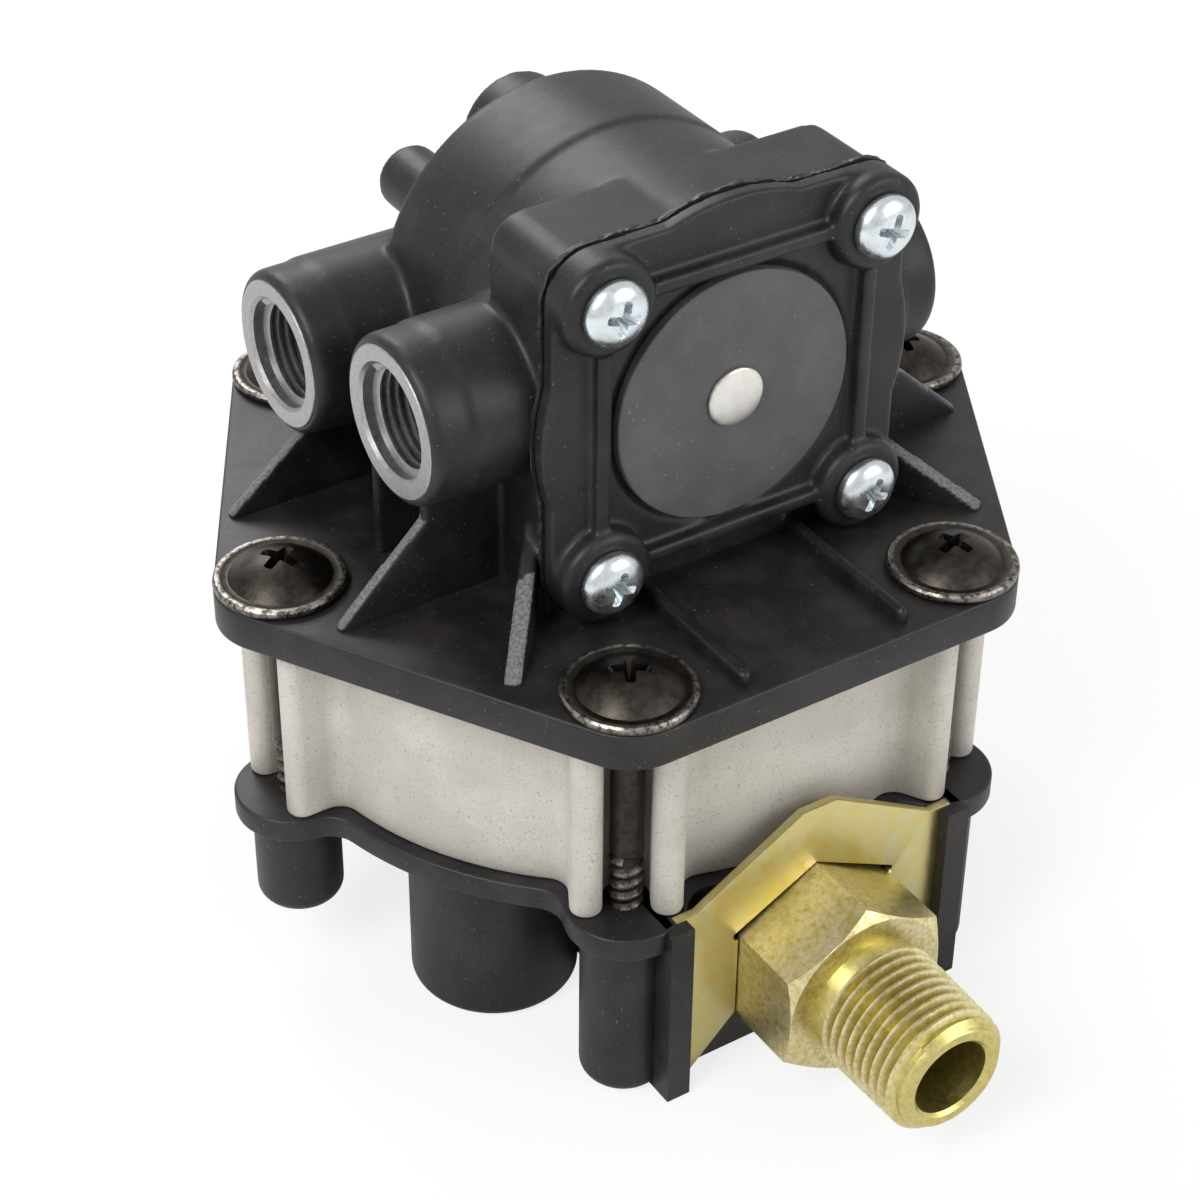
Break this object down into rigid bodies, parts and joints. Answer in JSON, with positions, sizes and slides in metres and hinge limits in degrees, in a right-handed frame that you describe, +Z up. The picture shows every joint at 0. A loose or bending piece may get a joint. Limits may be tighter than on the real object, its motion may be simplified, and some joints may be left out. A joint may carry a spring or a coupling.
{
  "type": "trailer control valve",
  "caption": "Relay and spring brake control valve stack: threaded side ports, front exhaust disc, aluminium body and a supply nipple held by a lock plate.",
  "frame": {"origin": "centre of the downward exhaust opening, level with the feet, on the axis of the screw circle", "axes": "+Z up through the housing stack, -Y out along the supply nipple, -X and +X out of the upper side ports"},
  "size_m": [0.1326, 0.1504, 0.1323],
  "materials": {
    "black_nylon": "satin glass-filled nylon",
    "cast_aluminium": "blasted casting",
    "black_oxide_steel": "black oxide",
    "bright_zinc_steel": "bright zinc plate",
    "yellow_zinc_plate": "yellow zinc plate, satin",
    "yellow_zinc_nipple": "yellow zinc plate, mottled",
    "insert_steel": "turned",
    "exhaust_rubber": "moulded",
    "seal_rubber": "moulded",
    "nickel_pin": "satin nickel",
    "turned_aluminium": "turned",
    "spring_steel": "drawn wire"
  },
  "bodies": {
    "valve_body": {"lower_cover": "black_nylon", "main_body": "cast_aluminium", "upper_gasket": "seal_rubber", "lower_gasket": "seal_rubber", "upper_cover": "black_nylon", "cover_gasket": "seal_rubber", "front_cover": "black_nylon", "exhaust_disc": "exhaust_rubber", "disc_pin": "nickel_pin", "cover_screws": "bright_zinc_steel", "housing_screws": "black_oxide_steel", "left_front_port_insert": "insert_steel", "left_rear_port_insert": "insert_steel", "right_front_port_insert": "insert_steel", "right_rear_port_insert": "insert_steel", "left_delivery_insert": "insert_steel", "right_delivery_insert": "insert_steel", "nipple_insert": "insert_steel", "pipe_nipple": "yellow_zinc_nipple", "lock_plate": "yellow_zinc_plate", "poppet_guide": "black_nylon", "guide_seal": "seal_rubber", "snap_ring": "spring_steel", "check_plate": "turned_aluminium", "relay_spring": "spring_steel", "poppet_spring": "spring_steel", "control_spring": "spring_steel", "check_spring": "spring_steel"},
    "relay_piston": {"relay_piston": "turned_aluminium", "piston_seal": "seal_rubber"},
    "relay_poppet": {"relay_poppet": "turned_aluminium", "poppet_washer": "seal_rubber"},
    "control_piston": {"control_piston": "turned_aluminium", "control_seal": "seal_rubber"},
    "check_valve": {"check_poppet": "seal_rubber"}
  },
  "joints": [
    {"name": "relay_piston_slide", "type": "slide", "parent": "valve_body", "child": "relay_piston", "axis": [0, 0, -1], "range_m": [0, 0.005], "stiffness_N_per_m": 800, "springref_m": -0.004, "deforming": ["relay_spring"]},
    {"name": "relay_poppet_slide", "type": "slide", "parent": "valve_body", "child": "relay_poppet", "axis": [0, 0, -1], "range_m": [0, 0.0035], "stiffness_N_per_m": 200, "springref_m": -0.006, "deforming": ["poppet_spring"]},
    {"name": "control_piston_slide", "type": "slide", "parent": "valve_body", "child": "control_piston", "axis": [0, 1, 0], "range_m": [0, 0.006], "stiffness_N_per_m": 600, "springref_m": -0.004, "deforming": ["control_spring"]},
    {"name": "check_valve_slide", "type": "slide", "parent": "valve_body", "child": "check_valve", "axis": [0, 0, -1], "range_m": [0, 0.003], "stiffness_N_per_m": 100, "springref_m": -0.004, "deforming": ["check_spring"]}
  ],
  "couplings": [
    {"joint": "relay_poppet_slide", "follows": "relay_piston_slide", "ratio": 0.7}
  ]
}
